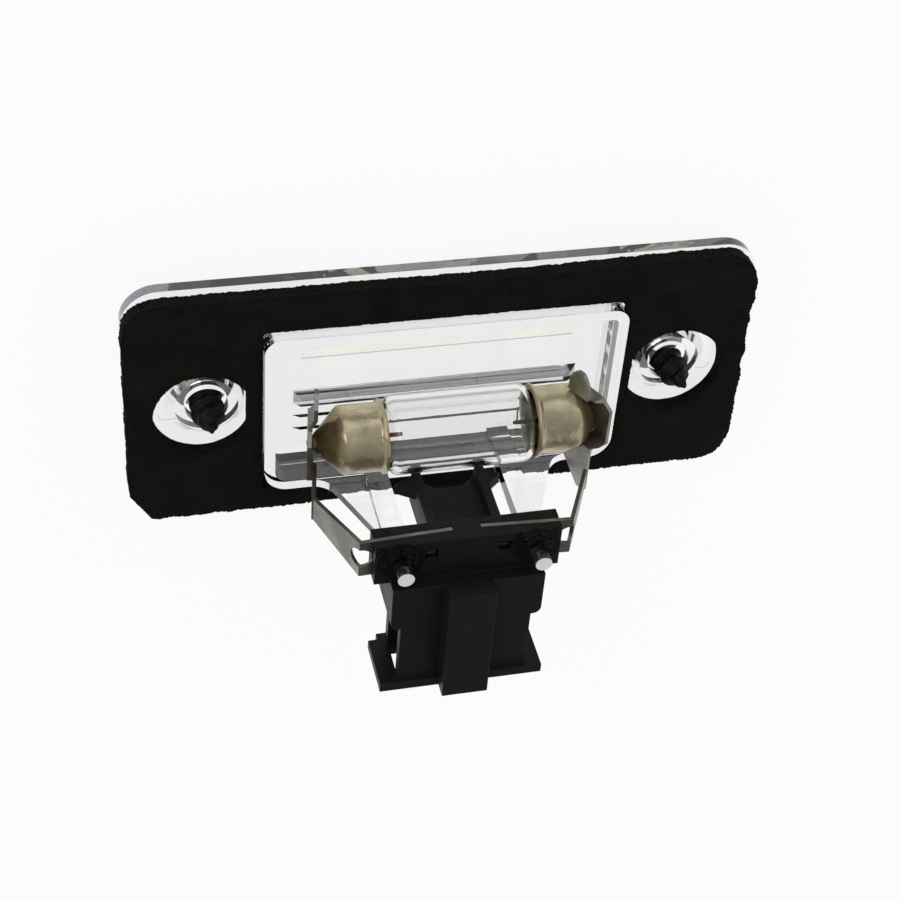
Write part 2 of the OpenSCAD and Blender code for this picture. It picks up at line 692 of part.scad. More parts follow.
// A pan-head tapping screw whose thread is a row of rings, standing with its head on the ground.
module screw(side) {
    core = core_d / 2;
    crest = thread_d / 2;
    face = head_d / 2 - head_edge;
    turns = floor((screw_l - point_l) / thread_pitch);
    lean = side == left ? 0 : screw_lean;
    axis_x = side * boss_span / 2 - (side == left ? 0 : screw_shift);
    color([0.1, 0.1, 0.1]) translate([axis_x, boss_y, face * sin(lean) + head_h * cos(lean)])
        rotate([0, lean, 0]) {
            rotate_extrude() {
                translate([0, -head_h]) square([face, head_h]);
                translate([0, -head_h + head_edge]) square([head_d / 2, head_h - head_edge]);
                polygon([[0, -join], [core, -join], [core, screw_l - point_l], [0.2, screw_l],
                    [0, screw_l]]);
            }
            for (i = [0:turns]) translate([0, 0, 0.6 + i * thread_pitch]) rotate_extrude()
                polygon([[core - join, -0.45], [crest, -0.1], [crest, 0.1], [core - join, 0.45]]);
        }
}

lens();
gasket();
holder();
contact(left);  // contact_left
contact(right);  // contact_right
lock_washer(left);  // lock_washer_left
lock_washer(right);  // lock_washer_right
bulb_glass();
bulb_cap(left);  // bulb_cap_left
bulb_cap(right);  // bulb_cap_right
solder_tip(left);  // solder_tip_left
solder_tip(right);  // solder_tip_right
lead(left);  // lead_left
lead(right);  // lead_right
filament_stub();
screw(left);  // screw_left
screw(right);  // screw_right
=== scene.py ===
import math
import random
from contextlib import contextmanager

import bmesh
import bpy
from mathutils import Matrix, Vector, geometry, noise


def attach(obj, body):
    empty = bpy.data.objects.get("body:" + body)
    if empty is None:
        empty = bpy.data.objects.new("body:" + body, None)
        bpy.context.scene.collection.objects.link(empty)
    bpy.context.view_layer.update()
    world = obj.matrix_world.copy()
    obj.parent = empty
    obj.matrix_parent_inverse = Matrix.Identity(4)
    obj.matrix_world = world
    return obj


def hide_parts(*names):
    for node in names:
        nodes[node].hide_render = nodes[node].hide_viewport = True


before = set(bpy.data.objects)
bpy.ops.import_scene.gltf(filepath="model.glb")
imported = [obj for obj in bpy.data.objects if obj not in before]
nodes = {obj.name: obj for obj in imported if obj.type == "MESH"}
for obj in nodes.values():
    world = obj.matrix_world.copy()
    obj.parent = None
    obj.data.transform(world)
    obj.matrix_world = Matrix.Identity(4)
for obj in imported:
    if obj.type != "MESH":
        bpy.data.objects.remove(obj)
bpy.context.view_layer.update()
scene = bpy.context.scene
mm = 0.001
bulbPlace = (1.1, -4.0, 10.3)  # the middle of the bulb, in mm
sideName = {-1: "Left", 1: "Right"}


def linear(r, g, b):  # a colour as seen on a screen, 0 to 255, as the shader wants it
    return tuple((c / 255 / 12.92 if c <= 10 else ((c / 255 + 0.055) / 1.055) ** 2.4) for c in (r, g, b)) + (1,)


def newObject(name, data):
    made = bpy.data.objects.new(name, data)
    scene.collection.objects.link(made)
    return made


# The camera stands at the photo's viewing angle.

cameraSettings = {
    "position": (-51.55, 152.36, 185.64),
    "target": (-0.06, -5.88, 12.0),
    "roll": 160.84,
    "lens": 79.06,
    "clip": (0.01, 20),
}


def makeCamera(cs):
    data = bpy.data.cameras.new("photoCamera")
    data.lens = cs["lens"]
    data.clip_start, data.clip_end = cs["clip"]
    camera = newObject("photoCamera", data)
    position = Vector(cs["position"]) * mm
    toCamera = position - Vector(cs["target"]) * mm
    turn = toCamera.to_track_quat("Z", "Y").to_matrix() @ Matrix.Rotation(math.radians(cs["roll"]), 3, "Z")
    camera.matrix_world = Matrix.Translation(position) @ turn.to_4x4()
    scene.camera = camera


makeCamera(cameraSettings)
print("camera ready")

# Short ways to build shader and geometry nodes.


def addNode(tree, kind, inputs=None, **values):  # a shader node, or a geometry node by its full name
    node = tree.nodes.new(kind if kind.startswith("Geometry") else "ShaderNode" + kind)
    for key, value in values.items():
        setattr(node, key, value)
    for key, value in (inputs or {}).items():
        socket = node.inputs[key]
        if hasattr(value, "is_output"):
            tree.links.new(value, socket)
        else:
            socket.default_value = value
    return node


def maths(tree, operation, a, b=0.5, c=None, clamp=False):
    inputs = {0: a, 1: b}
    if c is not None:
        inputs[2] = c
    return addNode(tree, "Math", inputs, operation=operation, use_clamp=clamp).outputs[0]


def times(tree, a, b, clamp=False):
    return maths(tree, "MULTIPLY", a, b, clamp=clamp)


def plus(tree, a, b):
    return maths(tree, "ADD", a, b)


def minus(tree, a, b, clamp=False):
    return maths(tree, "SUBTRACT", a, b, clamp=clamp)


def scaled(tree, value, factor, start):
    return maths(tree, "MULTIPLY_ADD", value, factor, start)


def ramp(tree, factor, stops, mode="LINEAR"):
    node = addNode(tree, "ValToRGB", {0: factor})
    node.color_ramp.interpolation = mode
    elements = node.color_ramp.elements
    elements.remove(elements[1])
    elements[0].position, elements[0].color = stops[0]
    for place, colour in stops[1:]:
        elements.new(place).color = colour
    return node.outputs[0]


def grey(v):
    return (v, v, v, 1)


def fade(tree, factor, low, high, top=1):  # 0 up to low, and top from high on
    return ramp(tree, factor, [(low, grey(0)), (high, grey(top))])


def mixColour(tree, factor, a, b):
    return addNode(tree, "Mix", {0: factor, 6: a, 7: b}, data_type="RGBA").outputs[2]


def split(tree, vector):  # the three parts of a vector
    return addNode(tree, "SeparateXYZ", {0: vector}).outputs


def vectorMath(tree, operation, inputs, result="Vector"):
    return addNode(tree, "VectorMath", inputs, operation=operation).outputs[result]


def joined(tree, x, y, z):
    return addNode(tree, "CombineXYZ", {0: x, 1: y, 2: z}).outputs[0]


def mapRange(tree, value, start, end, low=0.0, high=1.0):
    return addNode(tree, "MapRange", {"Value": value, "From Min": start, "From Max": end,
                                      "To Min": low, "To Max": high}).outputs[0]


def upward(tree):  # 1 where a surface faces up, -1 where it faces down
    return split(tree, addNode(tree, "TexCoord").outputs["Normal"])[2]


def noiseNode(tree, vector, scale, detail=4.0, roughness=0.55, distortion=0.0):
    return addNode(tree, "TexNoise", {"Vector": vector, "Scale": scale, "Detail": detail,
                                      "Roughness": roughness, "Distortion": distortion}).outputs[0]


def moved(tree, vector, shift=(0, 0, 0), scale=(1, 1, 1)):
    return addNode(tree, "Mapping", {"Vector": vector, "Location": shift, "Scale": scale}).outputs[0]


socketKinds = {int: "Int", float: "Float", tuple: "Vector", type(None): "Geometry"}


def newTree(kind, name, inputs, outputs):  # the kind of an input follows from its value
    tree = bpy.data.node_groups.new(name, kind + "NodeTree")
    for label, value in inputs.items():
        kindName = "NodeSocket" + socketKinds[type(value)]
        socket = tree.interface.new_socket(label, in_out="INPUT", socket_type=kindName)
        if value is not None:
            socket.default_value = value
    kindName = "NodeSocketFloat" if kind == "Shader" else "NodeSocketGeometry"
    for label in outputs:
        tree.interface.new_socket(label, in_out="OUTPUT", socket_type=kindName)
    return tree, tree.nodes.new("NodeGroupInput").outputs, tree.nodes.new("NodeGroupOutput").inputs


def newGroup(name, inputs, outputs):  # a shader group with a place as its first input
    return newTree("Shader", name, {"Vector": (0.0, 0.0, 0.0), **inputs}, outputs)


def groupOutputs(tree, group, inputs):
    return addNode(tree, "Group", inputs, node_tree=group).outputs


def makeEdgeWear():  # 1 along sharp edges, broken up by noise
    tree, given, out = newGroup("edgeWear", {"Width": 0.0002, "Breakup": 900.0}, ["Mask"])
    rounded = addNode(tree, "Bevel", {"Radius": given["Width"]}, samples=4)
    flat = addNode(tree, "NewGeometry")
    same = vectorMath(tree, "DOT_PRODUCT", {0: rounded.outputs[0], 1: flat.outputs["Normal"]}, "Value")
    edge = times(tree, minus(tree, 1.0, same), 7.0, clamp=True)
    patchy = fade(tree, noiseNode(tree, given["Vector"], given["Breakup"], 3), 0.38, 0.62)
    tree.links.new(times(tree, edge, patchy, clamp=True), out["Mask"])
    return tree


def makeGrain():  # fine even grain, with a broad drift beside it
    tree, given, out = newGroup("fineGrain", {"Fine": 4000.0, "Broad": 120.0}, ["Grain", "Drift"])
    tree.links.new(noiseNode(tree, given["Vector"], given["Fine"], 3, 0.6), out["Grain"])
    tree.links.new(noiseNode(tree, given["Vector"], given["Broad"], 4, 0.5, 0.4), out["Drift"])
    return tree


def makeDust():  # small sparse specks
    tree, given, out = newGroup("dustSpecks", {"Scale": 900.0, "Size": 0.16}, ["Mask"])
    cell = addNode(tree, "TexVoronoi", {"Vector": given["Vector"], "Scale": given["Scale"]})
    near = maths(tree, "LESS_THAN", cell.outputs["Distance"], given["Size"])
    parts = addNode(tree, "SeparateColor", {0: cell.outputs["Color"]})
    some = maths(tree, "GREATER_THAN", parts.outputs[0], 0.72)
    tree.links.new(times(tree, near, some), out["Mask"])
    return tree


def makeBrushed():  # long fine lines along X, as rolled strip has
    tree, given, out = newGroup("rolledLines", {"Scale": 2500.0}, ["Lines"])
    longer = moved(tree, given["Vector"], scale=(0.04, 1.0, 0.3))
    tree.links.new(noiseNode(tree, longer, given["Scale"], 3, 0.7), out["Lines"])
    return tree


edgeWear = makeEdgeWear()
fineGrain = makeGrain()
dustSpecks = makeDust()
rolledLines = makeBrushed()


def wearAt(tree, place, width, breakup):
    return groupOutputs(tree, edgeWear, {"Vector": place, "Width": width, "Breakup": breakup})["Mask"]


def newMaterial(name, fine, broad, **sockets):  # fine and broad are the scales of its grain
    material = bpy.data.materials.new(name)
    material.use_nodes = True
    tree = material.node_tree
    shader = tree.nodes["Principled BSDF"]
    for label, value in sockets.items():
        shader.inputs[label.replace("_", " ")].default_value = value
    place = addNode(tree, "TexCoord").outputs["Object"]
    grain = groupOutputs(tree, fineGrain, {"Vector": place, "Fine": fine, "Broad": broad})
    return material, tree, shader, place, grain


def feed(shader, label, value):
    shader.id_data.links.new(value, shader.inputs[label])


def vary(shader, label, value, factor, start):  # feeds in value * factor + start
    feed(shader, label, scaled(shader.id_data, value, factor, start))


def clearedTree(owner):  # the empty node tree of a material or a world
    owner.use_nodes = True
    owner.node_tree.nodes.clear()
    return owner.node_tree


def bump(tree, shader, height, strength, distance, base=None):
    node = addNode(tree, "Bump", {"Height": height, "Strength": strength, "Distance": distance})
    if base is not None:
        tree.links.new(base, node.inputs["Normal"])
    feed(shader, "Normal", node.outputs[0])


def boxMask(tree, place, box, soft):  # 1 inside a box (left, right, low, high) in mm, with a soft edge
    parts = split(tree, place)
    mask = 1.0
    for part, low, high in ((parts[0], box[0], box[1]), (parts[1], box[2], box[3])):
        away = maths(tree, "ABSOLUTE", minus(tree, part, (low + high) / 2 * mm))
        inside = mapRange(tree, away, ((high - low) / 2 + soft) * mm, ((high - low) / 2 - soft) * mm)
        mask = times(tree, inside, mask)
    return mask


def fromBulb(tree, place):  # how far a point is from the bulb's middle, along its axis and away from its axis
    side = maths(tree, "ABSOLUTE", minus(tree, split(tree, place)[0], bulbPlace[0] * mm))
    centred = moved(tree, place, (0, -bulbPlace[1] * mm, -bulbPlace[2] * mm), (0, 1, 1))
    return side, vectorMath(tree, "LENGTH", {0: centred}, "Value")


# Materials, one for each finish.

clearSettings = {
    "tint": (0.972, 0.98, 0.984, 1), "paler": (0.985, 0.988, 0.99, 1), "ior": 1.585, "roughness": 0.015,
    "bar": (-17, 17, 3.3, 5.15), "barTint": (0.985, 0.955, 0.86, 1), "barDepth": (2.8, 3.6),
    "barLines": (3.22, 5.34), "barLine": (0.3, 0.3, 0.32, 1), "lineHalf": 0.08, "lineSoft": 0.03,
    "flute": (-18, 18, -3.5, -1.7), "fluteDepth": (3.12, 4.2), "fluteShade": (0.2, 0.2, 0.21, 1),
    "ejectorMarks": ((-33.6, -1.3), (33.8, -1.3)), "markRadius": 0.95, "markHalf": 0.07, "markAbove": 5.0,
    "markLine": (0.5, 0.5, 0.52, 1),
}


def makeClearPlastic(cs):
    material, tree, shader, place, grain = newMaterial(
        "clearPlastic", 1500, 90, Base_Color=cs["tint"], IOR=cs["ior"], Transmission_Weight=1.0)
    vary(shader, "Roughness", grain["Drift"], 0.03, cs["roughness"] - 0.01)
    colour = mixColour(tree, grain["Drift"], cs["tint"], cs["paler"])
    _, along, height = split(tree, place)
    # the bar near the top of the window is a little yellow between two fine lines
    low, high = cs["barDepth"]
    onWindow = maths(tree, "COMPARE", height, (low + high) / 2 * mm, (high - low) / 2 * mm)
    inBar = times(tree, onWindow, boxMask(tree, place, cs["bar"], 0.1))
    colour = mixColour(tree, inBar, colour, cs["barTint"])
    left, right = cs["bar"][:2]
    for y in cs["barLines"]:
        box = (left, right, y - cs["lineHalf"], y + cs["lineHalf"])
        line = times(tree, onWindow, boxMask(tree, place, box, cs["lineSoft"]))
        colour = mixColour(tree, line, colour, cs["barLine"])
    # painted shade: the first flute is painted dark, standing in for the dark room reflected in its faces
    low, high = cs["fluteDepth"]
    flute = times(tree, boxMask(tree, place, cs["flute"], 0.06), maths(tree, "GREATER_THAN", height, low * mm))
    flute = times(tree, flute, maths(tree, "LESS_THAN", height, high * mm))
    colour = mixColour(tree, flute, colour, cs["fluteShade"])
    # the low half of each ejector mark shows
    onFlange = maths(tree, "GREATER_THAN", height, cs["markAbove"] * mm)
    for x, y in cs["ejectorMarks"]:
        far = vectorMath(tree, "LENGTH", {0: moved(tree, place, (-x * mm, -y * mm, 0), (1, 1, 0))}, "Value")
        ring = maths(tree, "COMPARE", far, cs["markRadius"] * mm, cs["markHalf"] * mm)
        ring = times(tree, ring, maths(tree, "LESS_THAN", along, (y - 0.1) * mm))
        colour = mixColour(tree, times(tree, ring, onFlange), colour, cs["markLine"])
    feed(shader, "Base Color", colour)
    bump(tree, shader, grain["Drift"], 0.12, 0.00012)
    return material


foamLook = {
    "dark": linear(12, 12, 10), "light": linear(25, 25, 22),
    "glue": ((0.0, linear(58, 58, 60)), (0.2, linear(192, 193, 202)), (0.36, linear(142, 143, 150)),
             (0.47, linear(206, 207, 213)), (0.62, linear(48, 48, 49)), (0.74, linear(222, 212, 192)),
             (0.83, linear(168, 168, 174)), (0.93, linear(92, 92, 94))),
}


def makeFoam(cs):  # black skin, and a patchy glue layer on the underside, which shows through the flange
    material, tree, shader, place, grain = newMaterial("foam", 5200, 260, Specular_IOR_Level=0.1)
    pores = addNode(tree, "TexVoronoi", {"Vector": place, "Scale": 3400.0}).outputs["Distance"]
    tone = times(tree, grain["Grain"], plus(tree, grain["Drift"], 0.35))
    skin = ramp(tree, tone, [(0.3, cs["dark"]), (0.62, cs["light"])])
    flatPlace = moved(tree, place, scale=(1, 0.25, 0))
    patches = addNode(tree, "TexVoronoi", {"Vector": flatPlace, "Scale": 210.0})
    patches = addNode(tree, "SeparateColor", {0: patches.outputs["Color"]}).outputs[0]
    patches = scaled(tree, grain["Drift"], 0.12, minus(tree, patches, 0.06))
    glue = ramp(tree, patches, cs["glue"], "CONSTANT")
    under = maths(tree, "LESS_THAN", upward(tree), -0.6)
    feed(shader, "Base Color", mixColour(tree, under, skin, glue))
    vary(shader, "Roughness", grain["Drift"], 0.15, 0.82)
    height = plus(tree, times(tree, pores, 0.8), grain["Grain"])
    bump(tree, shader, height, 0.8, 0.0002)
    return material


plasticLook = {"base": linear(17, 17, 17), "worn": linear(44, 44, 44), "dust": linear(60, 60, 58)}


def makeBlackPlastic(cs):
    material, tree, shader, place, grain = newMaterial("blackPlastic", 6000, 240, Specular_IOR_Level=0.22)
    wear = wearAt(tree, place, 0.00022, 1300.0)
    dust = groupOutputs(tree, dustSpecks, {"Vector": place, "Scale": 1100.0, "Size": 0.11})["Mask"]
    colour = mixColour(tree, times(tree, wear, 0.55), cs["base"], cs["worn"])
    colour = mixColour(tree, times(tree, dust, 0.35), colour, cs["dust"])
    feed(shader, "Base Color", colour)
    vary(shader, "Roughness", grain["Drift"], 0.25, 0.38)
    rounded = addNode(tree, "Bevel", {"Radius": 0.00018}, samples=4).outputs[0]
    bump(tree, shader, grain["Grain"], 0.25, 0.00006, rounded)
    return material


steelLook = {"clean": linear(176, 175, 168), "dull": linear(128, 126, 118), "tarnish": linear(128, 116, 94),
             "dark": linear(78, 77, 72), "tarnishFrom": 5.2, "tarnishFull": 2.2}


def makeSpringSteel(cs):
    material, tree, shader, place, grain = newMaterial("springSteel", 3800, 210, Metallic=1.0)
    lines = groupOutputs(tree, rolledLines, {"Vector": place, "Scale": 5200.0})["Lines"]
    colour = mixColour(tree, fade(tree, grain["Drift"], 0.35, 0.68), cs["dull"], cs["clean"])
    colour = mixColour(tree, times(tree, lines, 0.35), colour, cs["dark"])
    seat = mapRange(tree, fromBulb(tree, place)[1], cs["tarnishFrom"] * mm, cs["tarnishFull"] * mm)
    seat = times(tree, seat, plus(tree, grain["Drift"], 0.2), clamp=True)
    colour = mixColour(tree, seat, colour, cs["tarnish"])
    wear = wearAt(tree, place, 0.00012, 1800.0)
    colour = mixColour(tree, times(tree, wear, 0.5), colour, cs["dark"])
    feed(shader, "Base Color", colour)
    vary(shader, "Roughness", lines, 0.3, 0.26)
    rounded = addNode(tree, "Bevel", {"Radius": 0.00007}, samples=4).outputs[0]
    bump(tree, shader, lines, 0.18, 0.00003, rounded)
    return material


seatTop = 2.75  # in mm, above any face of a screw head that clamps on the lens


def makeDarkSteel(name, base, light, roughness, seat=None):  # seat is a painted light, the near-white tone painted on a face that clamps
    material, tree, shader, place, grain = newMaterial(name, 2600, 420, Metallic=0.85)
    wear = wearAt(tree, place, 0.00014, 2200.0)
    colour = mixColour(tree, fade(tree, grain["Drift"], 0.3, 0.75), base, light)
    colour = mixColour(tree, times(tree, wear, 0.45), colour, linear(120, 120, 118))
    if seat:
        # painted light: the face that clamps on the lens is painted near white and less metallic, for the bright ring
        # seen there through the lens
        low = maths(tree, "LESS_THAN", split(tree, place)[2], seatTop * mm)
        litSeatMask = times(tree, low, maths(tree, "GREATER_THAN", upward(tree), 0.6))
        colour = mixColour(tree, litSeatMask, colour, seat)
        vary(shader, "Metallic", litSeatMask, -0.6, 0.85)
    feed(shader, "Base Color", colour)
    vary(shader, "Roughness", grain["Grain"], 0.35, roughness - 0.15)
    bump(tree, shader, grain["Grain"], 0.3, 0.00005)
    return material


capLook = {"beige": linear(206, 193, 158), "brown": linear(122, 102, 70), "grey": linear(168, 160, 136),
           "stain": linear(70, 58, 42), "gold": linear(150, 130, 92), "mouth": 9.34, "bore": 4.06,
           "coneFrom": 14.2, "coneFull": 15.4}


def makeCapMetal(cs):
    material, tree, shader, place, grain = newMaterial("capMetal", 2600, 330)
    stains = noiseNode(tree, place, 620.0, 5, 0.65, 1.2)
    side, far = fromBulb(tree, place)
    cone = mapRange(tree, side, cs["coneFrom"] * mm, cs["coneFull"] * mm)
    colour = mixColour(tree, fade(tree, grain["Drift"], 0.32, 0.66), cs["grey"], cs["beige"])
    colour = mixColour(tree, times(tree, cone, 0.85), colour, cs["brown"])
    colour = mixColour(tree, fade(tree, stains, 0.6, 0.72, 0.75), colour, cs["stain"])
    vary(shader, "Roughness", stains, 0.35, 0.12)
    height = scaled(tree, grain["Drift"], 1.6, times(tree, grain["Grain"], 0.25))
    bump(tree, shader, height, 0.5, 0.00012)
    inner = maths(tree, "LESS_THAN", far, cs["bore"] * mm)
    inner = times(tree, inner, minus(tree, 1.0, cone))
    inner = maths(tree, "MAXIMUM", inner, maths(tree, "LESS_THAN", side, cs["mouth"] * mm))
    feed(shader, "Base Color", mixColour(tree, inner, colour, cs["gold"]))
    vary(shader, "Metallic", inner, -0.5, 0.8)
    return material


glassLook = {"clear": (0.985, 0.988, 0.98, 1), "soot": (0.86, 0.84, 0.76, 1), "sootFrom": 7.4, "sootFull": 9.4}


def makeBulbGlass(cs):
    material, tree, shader, place, grain = newMaterial(
        "bulbGlass", 900, 160, Base_Color=cs["clear"], IOR=1.5, Transmission_Weight=1.0)
    feed(shader, "Roughness", times(tree, grain["Drift"], 0.02))
    soot = mapRange(tree, fromBulb(tree, place)[0], cs["sootFrom"] * mm, cs["sootFull"] * mm)
    colour = mixColour(tree, times(tree, soot, 0.6), cs["clear"], cs["soot"])
    feed(shader, "Base Color", colour)
    bump(tree, shader, grain["Drift"], 0.08, 0.0003)
    return material


def makeLead(name, base, light):
    material, tree, shader, place, grain = newMaterial(name, 6000, 1500, Metallic=0.8)
    feed(shader, "Base Color", mixColour(tree, fade(tree, grain["Drift"], 0.35, 0.65), base, light))
    vary(shader, "Roughness", grain["Grain"], 0.4, 0.3)
    bump(tree, shader, grain["Grain"], 0.4, 0.00004)
    return material


def makePinEnds():
    material, tree, shader, place, grain = newMaterial(
        "frostedEnds", 5000, 900, Base_Color=(0.93, 0.94, 0.95, 1), IOR=1.585, Transmission_Weight=0.25)
    vary(shader, "Roughness", grain["Drift"], 0.3, 0.42)
    bump(tree, shader, grain["Grain"], 0.35, 0.00005)
    return material


clearPlastic = makeClearPlastic(clearSettings)
frostedEnds = makePinEnds()
foam = makeFoam(foamLook)
blackPlastic = makeBlackPlastic(plasticLook)
springSteel = makeSpringSteel(steelLook)
washerSteel = makeDarkSteel("washerSteel", linear(15, 15, 15), linear(30, 30, 29), 0.5)
# the seat tone below is painted light, the near-white face under each screw head
blackZinc = makeDarkSteel("blackZinc", linear(14, 14, 14), linear(32, 32, 32), 0.42, seat=linear(205, 207, 212))
solderGrey = makeDarkSteel("solderGrey", linear(96, 94, 88), linear(140, 136, 126), 0.4)
capMetal = makeCapMetal(capLook)
bulbGlass = makeBulbGlass(glassLook)
copperLead = makeLead("copperLead", linear(92, 34, 28), linear(150, 66, 52))
darkLead = makeLead("darkLead", linear(40, 34, 32), linear(86, 76, 70))
print("materials ready")

# Helpers for meshes and geometry trees.


def newPiece(name, verts, faces, material):
    mesh = bpy.data.meshes.new(name)
    mesh.from_pydata([tuple(v) for v in verts], [], faces)
    mesh.validate()
    mesh.materials.append(material)
    return newObject(name, mesh)


@contextmanager
def reworked(piece):  # lends out the piece's mesh and takes it back
    build = bmesh.new()
    build.from_mesh(piece.data)
    yield build
    build.to_mesh(piece.data)
    build.free()


def openEdges(build):
    return sum(1 for edge in build.edges if len(edge.link_faces) != 2)


def outwards(piece, merge=1e-7):  # joins doubles and turns every face outwards
    with reworked(piece) as build:
        bmesh.ops.remove_doubles(build, verts=build.verts, dist=merge)
        bmesh.ops.recalc_face_normals(build, faces=build.faces)


def sharpen(piece, degrees):  # smooth faces, with sharp edges where they turn by more than this
    with reworked(piece) as build:
        for edge in build.edges:
            edge.smooth = not (len(edge.link_faces) == 2 and edge.calc_face_angle(0) > math.radians(degrees))
        for face in build.faces:
            face.smooth = True


# Turns a profile of (radius, height) in mm, which runs from pole to pole or is a closed loop.
def lathe(name, profile, sides, material, place):
    tiny = 1e-6
    closedLoop = profile[0][0] > tiny
    verts, faces, rings = [], [], []
    for radius, height in profile:
        if radius < tiny:
            rings.append([len(verts)])
            verts.append(place @ Vector((0, 0, height * mm)))
        else:
            rings.append(list(range(len(verts), len(verts) + sides)))
            for i in range(sides):
                turn = 2 * math.pi * i / sides
                x, y = radius * mm * math.cos(turn), radius * mm * math.sin(turn)
                verts.append(place @ Vector((x, y, height * mm)))
    pairs = list(zip(rings, rings[1:]))
    if closedLoop:
        pairs.append((rings[-1], rings[0]))
    for low, high in pairs:
        for i in range(sides):
            j = (i + 1) % sides
            corners = [low[i % len(low)], low[j % len(low)], high[j % len(high)], high[i % len(high)]]
            face = [v for k, v in enumerate(corners) if v not in corners[:k]]
            if len(face) > 2:
                faces.append(face)
    piece = newPiece(name, verts, faces, material)
    outwards(piece)
    return piece


def finishTree(tree, out, mesh, material):  # the end that every geometry tree has
    whole = addNode(tree, "GeometryNodeRealizeInstances", {0: mesh})
    painted = addNode(tree, "GeometryNodeSetMaterial", {"Geometry": whole.outputs[0], "Material": material})
    tree.links.new(painted.outputs[0], out[0])


def pushTree(tree, given, out, direction, amount, material):  # moves each point along its direction
    offset = vectorMath(tree, "SCALE", {0: direction, "Scale": amount})
    shaped = addNode(tree, "GeometryNodeSetPosition", {"Geometry": given["Geometry"], "Offset": offset})
    finishTree(tree, out, shaped.outputs[0], material)
    return tree


def newGeometryTree(name, inputs):
    return newTree("Geometry", name, {"Geometry": None, **inputs}, ["Geometry"])


def plainMesh(piece):  # what a curve or a modifier makes, as a mesh
    return bpy.data.meshes.new_from_object(piece.evaluated_get(bpy.context.evaluated_depsgraph_get()))


def grow(piece, tree, values):  # runs a geometry tree on a piece and keeps the result as its plain mesh
    modifier = piece.modifiers.new(tree.name, "NODES")
    modifier.node_group = tree
    for item in tree.interface.items_tree:
        if item.item_type == "SOCKET" and item.in_out == "INPUT" and item.name in values:
            modifier[item.identifier] = values[item.name]
    mesh = plainMesh(piece)
    piece.modifiers.clear()
    mesh.name = piece.name
    piece.data = mesh


def settle(piece, place):  # puts the place into the mesh, so the object stays at the origin
    piece.data.transform(place)
    piece.matrix_world = Matrix.Identity(4)


def declare(piece, slot, *replaced):
    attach(piece, "root")
    if replaced:
        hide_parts(*replaced)


# The foam gasket is a slab with a finely torn edge.

gasketSettings = {
    "halfLength": 38.6, "up": 15.95, "down": 16.1, "cornerRadius": 4.2, "lowRadius": 3.0,
    "windowHalf": 22.28, "windowUp": 10.85, "windowDown": 13.2, "windowRadius": (0.5, 1.8),
    "holeX": 28.9, "holeY": -0.65, "holeShift": 0.5, "holeRadius": (5.95, 6.15), "holeFlat": (4.8, 5.2),
    "bottom": 5.48, "top": 7.5, "cell": 0.6, "step": 0.15, "seed": 11,
    "riseRight": 0.42, "pullRight": 0.4, "dropLeft": 0.5, "dropMiddle": 0.65,
    "fine": 0.15, "broad": 0.16, "wavyRight": 0.36, "calm": 0.2,
    "tornFrom": (-38.5, -12.5), "tornTo": (-35.9, -16.6), "levels": (0.7, 0.36),
}


def roundedBox(x, y, left, right, low, high, radius):  # distance to a rounded rectangle, below 0 inside
    dx = abs(x - (left + right) / 2) - (right - left) / 2 + radius
    dy = abs(y - (low + high) / 2) - (high - low) / 2 + radius
    return math.hypot(max(dx, 0), max(dy, 0)) + min(max(dx, dy), 0) - radius


def slab(x, y, gs, radius):  # distance to the whole foam slab
    return roundedBox(x, y, -gs["halfLength"], gs["halfLength"], -gs["down"], gs["up"], radius)


def eased(value, start, end):
    t = min(max((value - start) / (end - start), 0), 1)
    return t * t * (3 - 2 * t)


def foamDistance(x, y, gs, rough=True):  # below 0 in the foam
    level = y - gs["riseRight"] * eased(x, 6, 30) * eased(y, 11, 15)
    level += gs["dropLeft"] * eased(-x, 4, 20) * eased(-y, 13.4, 15.4)
    level += gs["dropMiddle"] * (1 - eased(abs(x), 7.5, 9.5)) * eased(-y, 13.6, 15.6)
    radius = gs["cornerRadius"] if y > 0 or x > 0 else gs["lowRadius"]
    across = x + gs["pullRight"] * eased(x, 33, 37) * eased(y, -2, 6)
    outside = slab(across, level, gs, radius)
    radius = gs["windowRadius"][1 if x > 0 and y > 0 else 0]
    window = roundedBox(x, y, -gs["windowHalf"], gs["windowHalf"], -gs["windowDown"], gs["windowUp"], radius)
    (ax, ay), (bx, by) = gs["tornFrom"], gs["tornTo"]
    torn = ((x - ax) * (ay - by) - (y - ay) * (ax - bx)) / math.hypot(bx - ax, by - ay)
    side, right = (1, 1) if x > 0 else (-1, 0)
    hole = math.hypot(x - side * (gs["holeX"] + gs["holeShift"]), y - gs["holeY"]) - gs["holeRadius"][right]
    hole = max(hole, (gs["holeX"] - gs["holeFlat"][right]) - x * side)
    cut = max(outside, -window, -torn, -hole)
    if not rough:
        return cut
    wander = noise.noise((x * 2.9, y * 2.9, 4.0)) * gs["fine"] + noise.noise((x * 0.55, y * 0.55, 8.0)) * gs["broad"]
    wander += noise.noise((x * 0.3, y * 0.42, 2.0)) * gs["wavyRight"] * eased(x, 35.5, 37)
    if cut > outside + 1e-6:
        wander *= gs["calm"]  # the cut-outs are cleaner than the outer edge
    return cut + wander


def pulledOn(x, y, gs):  # the point of the foam's edge straight out from here
    e = 0.05
    gx = foamDistance(x + e, y, gs, False) - foamDistance(x - e, y, gs, False)
    gy = foamDistance(x, y + e, gs, False) - foamDistance(x, y - e, gs, False)
    size = math.hypot(gx, gy)
    inner, outer = -2.5, 2.5
    for _ in range(16):
        middle = (inner + outer) / 2
        if foamDistance(x + gx / size * middle, y + gy / size * middle, gs) < 0:
            inner = middle
        else:
            outer = middle
    return x + gx / size * inner, y + gy / size * inner


def stretch(a, b, count):  # the points on a line from a to b, in count steps
    return [(a[0] + (b[0] - a[0]) * i / count, a[1] + (b[1] - a[1]) * i / count) for i in range(count + 1)]


def around(points):  # each point with the next one, back to the first
    return list(zip(points, points[1:] + points[:1]))


